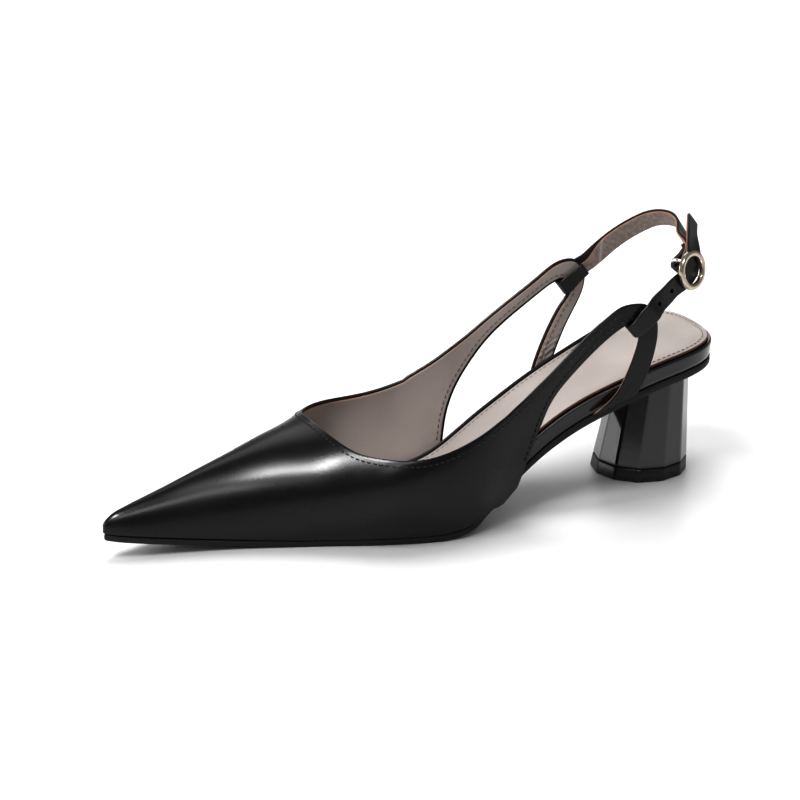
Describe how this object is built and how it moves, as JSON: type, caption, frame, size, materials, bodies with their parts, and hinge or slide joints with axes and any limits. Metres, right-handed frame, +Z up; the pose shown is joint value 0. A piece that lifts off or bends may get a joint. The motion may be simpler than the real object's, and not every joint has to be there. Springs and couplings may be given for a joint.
{
  "type": "slingback pump shoe",
  "caption": "Left slingback pump with a long pointed toe, open teardrop sides, flared block heel and an ankle strap closed by a round buckle.",
  "frame": {"origin": "on the floor, under the middle of the shoe's bounding box", "axes": "+X towards the heel with the toe at -X, +Y towards the medial side of the foot, +Z up"},
  "size_m": [0.2446, 0.0774, 0.1053],
  "materials": {
    "upper_leather": "smooth black leather with a satin gloss",
    "strap_leather": "smooth black leather outside, greige suede inside",
    "wrap_leather": "black leather wrapped round the board's edge",
    "sock_leather": "matt greige lining leather",
    "outsole_rubber": "plain black, matt",
    "heel_lacquer": "black lacquer, high gloss",
    "tip_rubber": "black, semi-gloss",
    "pale_gilt": "polished pale gold plate"
  },
  "bodies": {
    "root": {"outsole": "outsole_rubber", "footbed": "wrap_leather", "sock": "sock_leather", "upper": "upper_leather", "heel": "heel_lacquer", "heel_tip": "tip_rubber", "sling_strap": "strap_leather", "buckle_strap": "strap_leather", "buckle_ring": "pale_gilt", "buckle_bar": "pale_gilt"}
  },
  "joints": []
}
